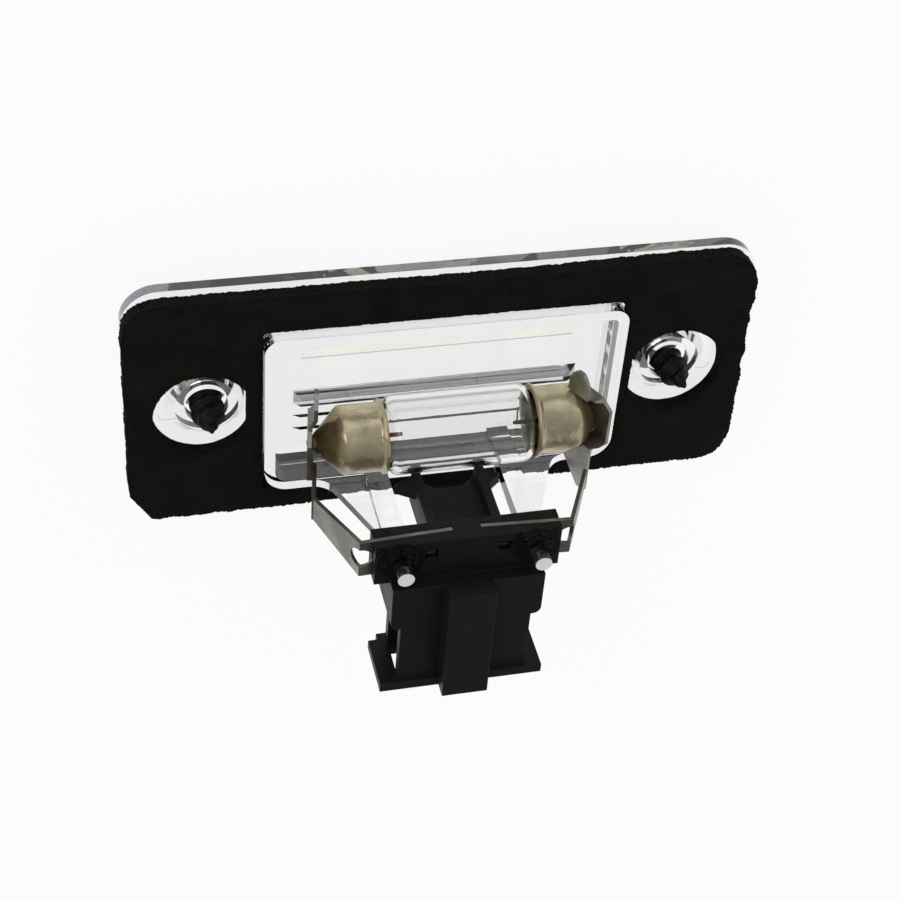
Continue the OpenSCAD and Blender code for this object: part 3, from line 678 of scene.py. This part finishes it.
def boxWalk(left, right, low, high, step):
    points = []
    corners = [(left, low), (right, low), (right, high), (left, high)]
    for a, b in around(corners):
        points += stretch(a, b, max(2, round(math.dist(a, b) / step)))[:-1]
    return points


def traceFoam(gs):  # the foam's four edge loops
    half, window, step = gs["halfLength"], gs["windowHalf"], gs["step"]
    starts = [boxWalk(-half + 0.6, half - 0.6, -gs["down"] + 0.6, gs["up"] - 0.6, step),
              boxWalk(-window - 0.1, window + 0.1, -gs["windowDown"] - 0.1, gs["windowUp"] + 0.1, step)]
    for side in (-1, 1):
        turns = [2 * math.pi * i / 230 for i in range(230)]
        starts.append([(side * (gs["holeX"] + 0.4) + 6 * math.cos(t), gs["holeY"] + 6 * math.sin(t)) for t in turns])
    loops = []
    for start in starts:
        loop = []
        for x, y in start:
            point = pulledOn(x, y, gs)
            if not loop or math.dist(point, loop[-1]) > 0.45 * step:
                loop.append(point)
        if math.dist(loop[0], loop[-1]) < 0.45 * step:
            loop.pop()
        loops.append(loop)
    return loops


# Keeps the triangles inside the loops, which are reached without crossing an edge.
def foamTriangles(flat, lines, sources, triangles, gs):
    fence = {tuple(sorted(line)) for line, source in zip(lines, sources) if source}
    beside = {}
    for n, corners in enumerate(triangles):
        for a, b in around(corners):
            beside.setdefault((min(a, b), max(a, b)), []).append(n)
    middles = [sum((flat[i] for i in corners), Vector((0, 0))) / 3 for corners in triangles]
    start = min(range(len(triangles)), key=lambda n: foamDistance(*middles[n], gs))
    reached, queue = {start}, [start]
    while queue:
        corners = triangles[queue.pop()]
        for a, b in around(corners):
            side = (min(a, b), max(a, b))
            if side not in fence:
                for n in beside[side]:
                    if n not in reached:
                        reached.add(n)
                        queue.append(n)
    kept = [tuple(triangles[n]) for n in sorted(reached)]
    while True:  # no corner may join two parts of the foam by a point alone
        used = {side for t in kept for side in around(t)}
        rim = sorted((a, b) for a, b in used if (b, a) not in used)
        leaving = [a for a, b in rim]
        pinched = {a for a in leaving if leaving.count(a) > 1}
        if not pinched:
            return kept, rim
        kept = [t for t in kept if not pinched & set(t)]


def makeGasket(gs):
    dice = random.Random(gs["seed"])
    points, edges = [], []
    for loop in traceFoam(gs):
        edges += around(list(range(len(points), len(points) + len(loop))))
        points += loop
    y = -gs["down"] - 0.5
    while y < gs["up"] + 0.5:
        x = -gs["halfLength"]
        while x < gs["halfLength"]:
            px, py = x + dice.uniform(-0.2, 0.2), y + dice.uniform(-0.2, 0.2)
            if foamDistance(px, py, gs) < -0.6 * gs["cell"]:
                points.append((px, py))
            x += gs["cell"]
        y += gs["cell"]
    points = [Vector(p) for p in points]
    flat, lines, triangles, _, sources, _ = geometry.delaunay_2d_cdt(points, edges, [], 0, 1e-6)
    kept, rim = foamTriangles(flat, lines, sources, triangles, gs)
    away = {}
    for a, b in rim:
        along = (flat[b] - flat[a]).normalized()
        for i in (a, b):
            away[i] = away.get(i, Vector((0, 0))) + Vector((along[1], -along[0]))
    verts, count, middle = [], len(flat), {}
    for i, (x, y) in enumerate(flat):
        height = gs["top"] - 0.1 + noise.noise((x * 0.35, y * 0.35, 1.0)) * 0.05
        height += noise.noise((x * 1.7, y * 1.7, 5.0)) * 0.06
        height -= dice.uniform(0.05, 0.2) if i in away else (0.1 if dice.random() < 0.04 else 0)
        verts.append(Vector((x, y, height)) * mm)
    verts += [Vector((x, y, gs["bottom"])) * mm for x, y in flat]
    for i, direction in away.items():
        direction.normalize()
        middle[i] = [i]
        torn = 1 if slab(*flat[i], gs, 3) > -1.8 else 0.15
        for level in gs["levels"]:
            push = direction * (0.1 * noise.noise((*(flat[i] * 2.2), 20 * level)) + dice.uniform(-0.03, 0.03)) * torn
            middle[i].append(len(verts))
            verts.append(Vector((*(flat[i] + push), gs["bottom"] + (gs["top"] - gs["bottom"]) * level)) * mm)
        middle[i].append(count + i)
    faces = kept + [tuple(count + i for i in reversed(t)) for t in kept]
    for a, b in rim:
        for k in range(len(gs["levels"]) + 1):
            faces.append((middle[b][k], middle[a][k], middle[a][k + 1], middle[b][k + 1]))
    piece = newPiece("foamGasket", verts, faces, foam)
    with reworked(piece) as build:
        bmesh.ops.delete(build, geom=[v for v in build.verts if not v.link_faces], context="VERTS")
        bmesh.ops.recalc_face_normals(build, faces=build.faces)
        print("foam gasket:", len(build.faces), "faces,", openEdges(build), "open edges")
    sharpen(piece, 50)
    return piece


gasket = makeGasket(gasketSettings)
declare(gasket, "foam", "gasket")

# The two tapping screws.

screwSettings = {
    "x": {-1: -28.9, 1: 28.25}, "y": 0.2, "lean": {-1: 0, 1: 6.5}, "turn": {-1: 0.9, 1: 3.4},
    "length": 9.5, "point": 3.0, "core": 1.45, "crest": 2.05, "pitch": 1.8, "flank": 0.26,
    "start": 0.3, "fadeIn": 0.9, "runOut": 1.0, "fadeOut": (0.9, 2.6),
    "headRadius": 3.7, "headHeight": 2.1, "headEdge": 0.6, "neck": 0.12, "sides": 72, "row": 0.07,
    "recess": 1.65, "recessDepth": 1.25, "slot": 0.42,
}


def makeThreadTree(ss):
    tree, given, out = newGeometryTree("threadForm", {
        "Pitch": ss["pitch"] * mm, "Height": (ss["crest"] - ss["core"]) * mm, "Start": ss["start"] * mm,
        "Run out": (ss["length"] - ss["runOut"]) * mm, "Flank": ss["flank"], "Turn": 0.0})
    x, y, z = split(tree, addNode(tree, "GeometryNodeInputPosition").outputs[0])
    angle = maths(tree, "ARCTAN2", y, x)
    phase = maths(tree, "DIVIDE", plus(tree, angle, given["Turn"]), 2 * math.pi)
    phase = maths(tree, "FRACT", minus(tree, maths(tree, "DIVIDE", z, given["Pitch"]), phase))
    ridge = maths(tree, "ABSOLUTE", minus(tree, phase, 0.5))
    ridge = minus(tree, 1.0, maths(tree, "DIVIDE", ridge, given["Flank"]), clamp=True)
    ridge = maths(tree, "MINIMUM", times(tree, ridge, 1.15), 1.0)
    fadeIn = mapRange(tree, z, given["Start"], plus(tree, given["Start"], ss["fadeIn"] * mm))
    after, before = ss["fadeOut"]
    fadeOut = mapRange(tree, z, plus(tree, given["Run out"], after * mm), minus(tree, given["Run out"], before * mm))
    ends = times(tree, fadeIn, fadeOut)
    amount = times(tree, ends, times(tree, ridge, given["Height"]))
    across = vectorMath(tree, "NORMALIZE", {0: joined(tree, x, y, 0.0)})
    return pushTree(tree, given, out, across, amount, blackZinc)


def makeScrew(side, tree, ss):
    edge, head, depth, neck = ss["headEdge"], ss["headRadius"], ss["headHeight"], ss["neck"]
    rows = [(head * t, -depth) for t in (0, 0.06, 0.12, 0.2, 0.28, 0.36, 0.45, 0.55, 0.66, 0.78)]
    rows += [(head - edge + edge * math.sin(a), -depth + edge - edge * math.cos(a)) for a in (0.2, 0.6, 1.0, 1.57)]
    rows += [(head, -neck), (head - 0.1, 0), (2.3, 0), (ss["core"] + neck, 0), (ss["core"], neck)]
    z = neck
    while z < ss["length"] - 0.25:
        z += ss["row"]
        taper = max(0.0, (z - (ss["length"] - ss["point"])) / ss["point"])
        rows.append((ss["core"] * (1 - taper) + neck * taper, z))
    rows.append((0, ss["length"]))
    piece = lathe("tappingScrew" + sideName[side], rows, ss["sides"], blackZinc, Matrix.Identity(4))
    for vertex in piece.data.vertices:
        x, y, z = vertex.co / mm
        if z < -depth + 0.01:
            arm, reach = sorted((abs(x), abs(y)))
            if arm < ss["slot"] and reach < ss["recess"]:
                vertex.co.z += ss["recessDepth"] * mm * min(1, (ss["recess"] - reach) / 0.5)
    grow(piece, tree, {"Turn": ss["turn"][side]})
    sharpen(piece, 38)
    lean = math.radians(ss["lean"][side])
    base = Vector((ss["x"][side], ss["y"], (head - edge) * math.sin(lean) + depth * math.cos(lean)))
    settle(piece, Matrix.Translation(base * mm) @ Matrix.Rotation(lean, 4, "Y"))
    return piece


threadTree = makeThreadTree(screwSettings)
for side, name in ((-1, "screw_left"), (1, "screw_right")):
    declare(makeScrew(side, threadTree, screwSettings), "black_screw", name)
print("screws ready")

# The bulb with its caps, leads and broken filament.

bulbSettings = {
    "length": 37.2, "capLength": 9.4, "cone": 4.0, "capRadius": 4.25, "capWall": 0.3, "beadRadius": 4.65,
    "tipRadius": 0.95, "glassRadius": 4.9, "shoulder": 0.8, "glassWall": 0.6, "leadLength": 4.4, "leadRadius": 0.29,
    "filamentRadius": 0.09, "sides": 96, "dent": 0.3, "dentScale": 420.0, "seed": {-1: 3.0, 1: 8.0},
    "pleats": {-1: 8, 1: 7}, "pleatDepth": 0.06, "pleatMiddle": 14.6, "pleatReach": 1.6,
}


def alongBulb(side):
    return Matrix.Translation(Vector(bulbPlace) * mm) @ Matrix.Rotation(math.radians(90 * side), 4, "Y")


def fillet(points, radius, steps=4):  # rounds the inner corners of an open profile
    out = [points[0]]
    for a, b, c in zip(points, points[1:], points[2:]):
        a, b, c = Vector(a), Vector(b), Vector(c)
        first, second = (a - b), (c - b)
        cut = min(radius, first.length * 0.45, second.length * 0.45)
        start, end = b + first.normalized() * cut, b + second.normalized() * cut
        for i in range(steps + 1):
            t = i / steps
            out.append(tuple((1 - t) ** 2 * start + 2 * t * (1 - t) * b + t * t * end))
    out.append(points[-1])
    return out


def denser(points, step):  # adds points so that no piece of the profile is longer than step
    out = [points[0]]
    for a, b in zip(points, points[1:]):
        out += stretch(a, b, max(1, math.ceil(math.dist(a, b) / step)))[1:]
    return out


def makeCreaseTree(bs):
    tree, given, out = newGeometryTree("crimpedCap", {
        "Dent": bs["dent"] * mm, "Scale": bs["dentScale"], "Seed": 1.0, "Pleats": 9,
        "Pleat depth": bs["pleatDepth"] * mm, "Cone": bs["pleatMiddle"] * mm,
        "Axis": tuple(v * mm for v in bulbPlace)})
    place = addNode(tree, "GeometryNodeInputPosition").outputs[0]
    normal = addNode(tree, "GeometryNodeInputNormal").outputs[0]
    x, y, z = split(tree, vectorMath(tree, "SUBTRACT", {0: place, 1: given["Axis"]}))
    dents = addNode(tree, "TexNoise", {"Vector": place, "W": given["Seed"], "Scale": given["Scale"],
                                       "Detail": 2.0, "Distortion": 0.6}, noise_dimensions="4D").outputs[0]
    dents = times(tree, minus(tree, dents, 0.55), given["Dent"])
    pleat = maths(tree, "COSINE", times(tree, maths(tree, "ARCTAN2", z, y), given["Pleats"]))
    shoulder = minus(tree, maths(tree, "ABSOLUTE", x), given["Cone"])
    shoulder = maths(tree, "DIVIDE", maths(tree, "ABSOLUTE", shoulder), bs["pleatReach"] * mm)
    shoulder = minus(tree, 1.0, shoulder, clamp=True)
    depth = times(tree, shoulder, given["Pleat depth"])
    pleat = times(tree, minus(tree, pleat, 1.0), depth)
    amount = maths(tree, "MINIMUM", plus(tree, dents, pleat), 0.0)
    return pushTree(tree, given, out, normal, amount, capMetal)


def makeCap(side, tree, bs):
    reach = bs["length"] / 2
    r, bead, tip, wall = bs["capRadius"], bs["beadRadius"], bs["tipRadius"], bs["capWall"]
    start = reach - bs["capLength"]
    outer = [(r - wall, start), (bead - 0.12, start), (bead, start + 0.2), (bead, start + 0.45),
             (r + 0.02, start + 0.8), (r, start + 1.1), (r, reach - bs["cone"]), (tip + 0.15, reach - 0.9),
             (tip, reach - 0.8), (0, reach - 0.8)]
    inner = [(0, reach - 1.2), (tip - 0.2, reach - 1.2), (r - wall, reach - bs["cone"] - 0.2)]
    outer = denser(fillet(outer[:-1], 0.35, 3), 0.28) + [outer[-1]]
    profile = outer[::-1] + [outer[0]] + inner[::-1]
    profile = [p for i, p in enumerate(profile) if i == 0 or math.dist(p, profile[i - 1]) > 1e-4]
    piece = lathe("bulbCap" + sideName[side], profile, bs["sides"], capMetal, alongBulb(side))
    grow(piece, tree, {"Seed": bs["seed"][side], "Pleats": bs["pleats"][side]})
    sharpen(piece, 50)
    return piece


def makeGlass(bs):
    reach = bs["length"] / 2 - bs["capLength"]
    mid, wall = bs["glassRadius"], bs["glassWall"]
    neck = bs["capRadius"] - bs["capWall"] - 0.25
    outer = [(neck, reach + 3), (neck, reach - 0.1), (mid, reach - bs["shoulder"])]
    outer = outer + [(radius, -height) for radius, height in reversed(outer)]
    outer = [(0, outer[0][1])] + fillet(outer, 0.8, 6) + [(0, outer[-1][1])]
    hollow = [(neck - wall, reach + 2.2), (neck - wall, reach - 0.3), (mid - wall, reach - bs["shoulder"] - 0.2)]
    hollow = hollow + [(radius, -height) for radius, height in reversed(hollow)]
    hollow = [(0, hollow[0][1])] + fillet(hollow, 0.8, 6) + [(0, hollow[-1][1])]
    piece = lathe("bulbTube", outer, bs["sides"], bulbGlass, alongBulb(1))
    room = lathe("bulbRoom", hollow, bs["sides"], bulbGlass, alongBulb(1))
    room.data.flip_normals()
    with reworked(piece) as build:
        build.from_mesh(room.data)
    bpy.data.objects.remove(room)
    sharpen(piece, 60)
    return piece


def wire(name, points, radius, material, taper):  # a round wire through points in mm
    data = bpy.data.curves.new(name, "CURVE")
    data.dimensions = "3D"
    data.bevel_depth = radius * mm
    data.bevel_resolution = 5
    data.use_fill_caps = True
    data.resolution_u = 8
    spline = data.splines.new("NURBS")
    spline.points.add(len(points) - 1)
    for point, width, target in zip(points, taper, spline.points):
        target.co = (*(Vector(point) * mm), 1)
        target.radius = width
    spline.order_u = 3
    spline.use_endpoint_u = True
    curve = newObject(name, data)
    mesh = plainMesh(curve)
    bpy.data.objects.remove(curve)
    mesh.materials.clear()
    mesh.materials.append(material)
    piece = newObject(name, mesh)
    outwards(piece, 1e-8)
    sharpen(piece, 45)
    return piece


creaseTree = makeCreaseTree(bulbSettings)
for side, name in ((-1, "bulb_cap_left"), (1, "bulb_cap_right")):
    declare(makeCap(side, creaseTree, bulbSettings), "cap_metal", name)
declare(makeGlass(bulbSettings), "bulb_glass", "bulb_glass")
leadStart = bulbSettings["length"] / 2 - bulbSettings["capLength"]  # where the glass leaves its caps
leadEnd = leadStart - bulbSettings["leadLength"] / 2
stub = leadStart - 0.4 * bulbSettings["leadLength"]
leadRadius, filamentRadius = bulbSettings["leadRadius"], bulbSettings["filamentRadius"]
# Each wire has its start along the bulb and its points from there, all in mm.
wires = (
    ("leadWireLeft", "copper_lead", "lead_left", copperLead, leadRadius, -leadEnd,
     ((-4.4, 0, 0), (-2.6, 0.02, 0), (-1.1, 0.05, 0.02), (-0.4, 0.02, 0), (0, -0.02, 0)), (1, 1, 0.95, 1.0, 0.8)),
    ("leadWireRight", "dark_lead", "lead_right", darkLead, leadRadius, leadEnd,
     ((0, 0, 0), (0.5, 0, 0), (1.6, -0.03, 0), (3, 0, 0), (4.4, 0, 0)), (0.7, 0.95, 0.95, 1, 1)),
    ("brokenFilament", "dark_lead", "filament_stub", darkLead, filamentRadius, stub,
     ((0, 0.25, 0), (0.04, 0.9, 0.03), (-0.05, 1.5, 0), (0, 2.1, 0)), (1, 1, 1, 1)),
)
for label, slot, name, material, radius, start, points, taper in wires:
    placed = [(bulbPlace[0] + start + x, bulbPlace[1] + y, bulbPlace[2] + z) for x, y, z in points]
    declare(wire(label, placed, radius, material, taper), slot, name)
print("bulb ready")

# The two toothed lock washers.

washerSettings = {"x": 8.4, "y": -12.1, "z": 23.66, "teeth": 6, "ringRadius": 2.45, "ringWidth": 1.0, "thickness": 0.3,
                  "toothLength": 1.2, "toothWidth": 1.32, "toothLift": 0.07}


def makeWasherTree(ws):
    tree, given, out = newGeometryTree("starWasher", {
        "Teeth": ws["teeth"], "Ring radius": ws["ringRadius"] * mm, "Ring width": ws["ringWidth"] * mm,
        "Thickness": ws["thickness"] * mm, "Tooth length": ws["toothLength"] * mm,
        "Tooth width": ws["toothWidth"] * mm, "Tooth lift": ws["toothLift"]})
    radius, width, length = given["Ring radius"], given["Ring width"], given["Tooth length"]
    ring = addNode(tree, "GeometryNodeCurvePrimitiveCircle", {"Resolution": 72, "Radius": radius})
    section = addNode(tree, "GeometryNodeCurvePrimitiveQuadrilateral", {"Width": width, "Height": given["Thickness"]})
    band = addNode(tree, "GeometryNodeCurveToMesh", {"Curve": ring.outputs[0], "Profile Curve": section.outputs[0]})
    inner = minus(tree, radius, times(tree, width, 0.4))
    inner = minus(tree, inner, times(tree, length, 0.5))
    spots = addNode(tree, "GeometryNodeMeshCircle", {"Vertices": given["Teeth"], "Radius": inner})
    size = joined(tree, length, given["Tooth width"], given["Thickness"])
    tooth = addNode(tree, "GeometryNodeMeshCube", {"Size": size})
    number = addNode(tree, "GeometryNodeInputIndex").outputs[0]
    turn = times(tree, number, maths(tree, "DIVIDE", 2 * math.pi, given["Teeth"]))
    tilt = joined(tree, 0.0, given["Tooth lift"], turn)
    teeth = addNode(tree, "GeometryNodeInstanceOnPoints", {"Points": spots.outputs[0], "Instance": tooth.outputs[0],
                                                           "Rotation": tilt})
    both = addNode(tree, "GeometryNodeJoinGeometry")
    tree.links.new(teeth.outputs[0], both.inputs[0])
    tree.links.new(band.outputs[0], both.inputs[0])
    finishTree(tree, out, both.outputs[0], washerSteel)
    return tree


washerTree = makeWasherTree(washerSettings)
for side, name in ((-1, "lock_washer_left"), (1, "lock_washer_right")):
    washer = newPiece("starWasher" + sideName[side], [(0, 0, 0)], [], washerSteel)
    grow(washer, washerTree, {})
    place = Vector((side * washerSettings["x"], washerSettings["y"], washerSettings["z"])) * mm
    settle(washer, Matrix.Translation(place))
    sharpen(washer, 30)
    declare(washer, "washer_steel", name)
print("washers ready")

# The lens moulding is a merged copy of its node, with matt ends on its pins.
# Each row of prisms is (place, shift of its crest, height). The first flute keeps the node's height.
lensSettings = {"merge": 1e-6, "endHeight": 26.95, "sharp": 24, "floor": 3.0, "crest": 3.9, "rowHalf": 18,
                "rows": ((-4.6, 0.55, 0.42), (-6.6, 0.7, 0.24), (-8.6, 0.7, 0.24), (4.2, 0.6, 0.2))}


def makeLens(ls):
    piece = newPiece("lensMoulding", [], [], clearPlastic)
    piece.data.materials.append(frostedEnds)
    build = bmesh.new()
    build.from_mesh(nodes["lens"].data)
    bmesh.ops.transform(build, matrix=nodes["lens"].matrix_world, verts=build.verts)
    bmesh.ops.remove_doubles(build, verts=build.verts, dist=ls["merge"])
    for vertex in build.verts:
        x, y, z = vertex.co / mm
        for row, shift, height in ls["rows"]:
            if abs(z - ls["crest"]) < 0.02 and abs(y - row) < 0.1 and abs(x) < ls["rowHalf"]:
                vertex.co = Vector((x, y + shift, ls["floor"] + height)) * mm
    build.normal_update()
    for face in build.faces:
        face.material_index = 1 if face.calc_center_median().z > ls["endHeight"] * mm and face.normal.z > 0.9 else 0
    matt = sum(1 for face in build.faces if face.material_index)
    print("lens moulding:", len(build.faces), "faces,", matt, "matt,", openEdges(build), "open edges")
    build.to_mesh(piece.data)
    build.free()
    sharpen(piece, ls["sharp"])
    return piece


declare(makeLens(lensSettings), "clear_plastic", "lens")

# The holder, the contacts and the solder tips keep their meshes and get their finishes.
for name, material in (("holder", blackPlastic), ("contact_left", springSteel), ("contact_right", springSteel),
                       ("solder_tip_left", solderGrey), ("solder_tip_right", solderGrey)):
    for socket in nodes[name].material_slots:
        socket.material = material
print("finishes set")

# Floor, backdrop and light.

studioSettings = {
    "floorSize": 3.0, "floorDrop": 0.2, "floorWhite": 0.93, "seenWhite": 0.9, "worldLevel": 0.62,
    "shade": (-39, 39, -22, -13.5), "shadeSoft": 0.25, "backOfRoom": -0.65, "frontOfRoom": 0.5,
    "horizon": 1.0, "horizonUp": 0.08, "ceilingUp": 0.45, "ceilingFar": 0.04, "ceilingNear": 0.45,
    "lamps": {"key": (1.35, (-0.42, 0.5, 0.55), 0.5), "fill": (0.7, (0.5, -0.25, 0.5), 0.6)},
}


def makeFloor(ss):
    material = bpy.data.materials.new("paleFloor")
    tree = clearedTree(material)
    glow = addNode(tree, "Emission", {"Color": grey(1.0), "Strength": 1.0})
    clear = addNode(tree, "BsdfTransparent")
    path = addNode(tree, "LightPath").outputs
    seen = maths(tree, "MAXIMUM", path["Is Camera Ray"], path["Is Glossy Ray"])
    seen = times(tree, seen, ss["seenWhite"])
    place = addNode(tree, "TexCoord").outputs["Object"]
    # painted shadow: refracted rays see the floor painted dark below the low side of the flange
    shade = times(tree, boxMask(tree, place, ss["shade"], ss["shadeSoft"]), path["Is Transmission Ray"])
    seen = times(tree, seen, minus(tree, 1.0, shade), clamp=True)
    colour = mixColour(tree, shade, grey(ss["floorWhite"]), grey(0.0))
    paint = addNode(tree, "BsdfDiffuse", {"Color": colour})
    both = addNode(tree, "MixShader", {0: seen, 1: paint.outputs[0], 2: glow.outputs[0]})
    under = addNode(tree, "NewGeometry").outputs["Backfacing"]
    last = addNode(tree, "MixShader", {0: under, 1: both.outputs[0], 2: clear.outputs[0]})
    addNode(tree, "OutputMaterial", {"Surface": last.outputs[0]})
    half = ss["floorSize"] / 2
    corners = [(-half, -half, 0), (half, -half, 0), (half, half, 0), (-half, half, 0)]
    floor = newPiece("floor", corners, [(0, 1, 2, 3)], material)
    settle(floor, Matrix.Translation((0, 0, -ss["floorDrop"] * mm)))


def makeWorld(ss):
    world = bpy.data.worlds.new("studio")
    scene.world = world
    tree = clearedTree(world)
    path = addNode(tree, "LightPath").outputs
    toward = split(tree, addNode(tree, "TexCoord").outputs["Generated"])
    room = mapRange(tree, toward[1], ss["backOfRoom"], ss["frontOfRoom"], ss["ceilingFar"], ss["ceilingNear"])
    ceiling = mapRange(tree, toward[2], ss["horizonUp"], ss["ceilingUp"], ss["horizon"], room)
    mirrored = maths(tree, "MAXIMUM", path["Is Glossy Ray"], path["Is Transmission Ray"])
    lighting = maths(tree, "GREATER_THAN", path["Diffuse Depth"], 0.5)
    shown = maths(tree, "MAXIMUM", ceiling, lighting)
    level = scaled(tree, mirrored, minus(tree, shown, ss["worldLevel"]), ss["worldLevel"])
    level = maths(tree, "MAXIMUM", level, path["Is Camera Ray"])
    sky = addNode(tree, "Background", {"Color": grey(1.0), "Strength": level})
    addNode(tree, "OutputWorld", {"Surface": sky.outputs[0]})


def makeLamp(name, power, place, size):
    data = bpy.data.lights.new(name, "AREA")
    data.energy = power
    data.size = size
    lamp = newObject(name, data)
    lamp.matrix_world = Matrix.Translation(place) @ Vector(place).to_track_quat("Z", "Y").to_matrix().to_4x4()


makeFloor(studioSettings)
makeWorld(studioSettings)
for name, (power, place, size) in studioSettings["lamps"].items():
    makeLamp(name, power, place, size)
scene.view_settings.view_transform = "Standard"
print("studio ready")
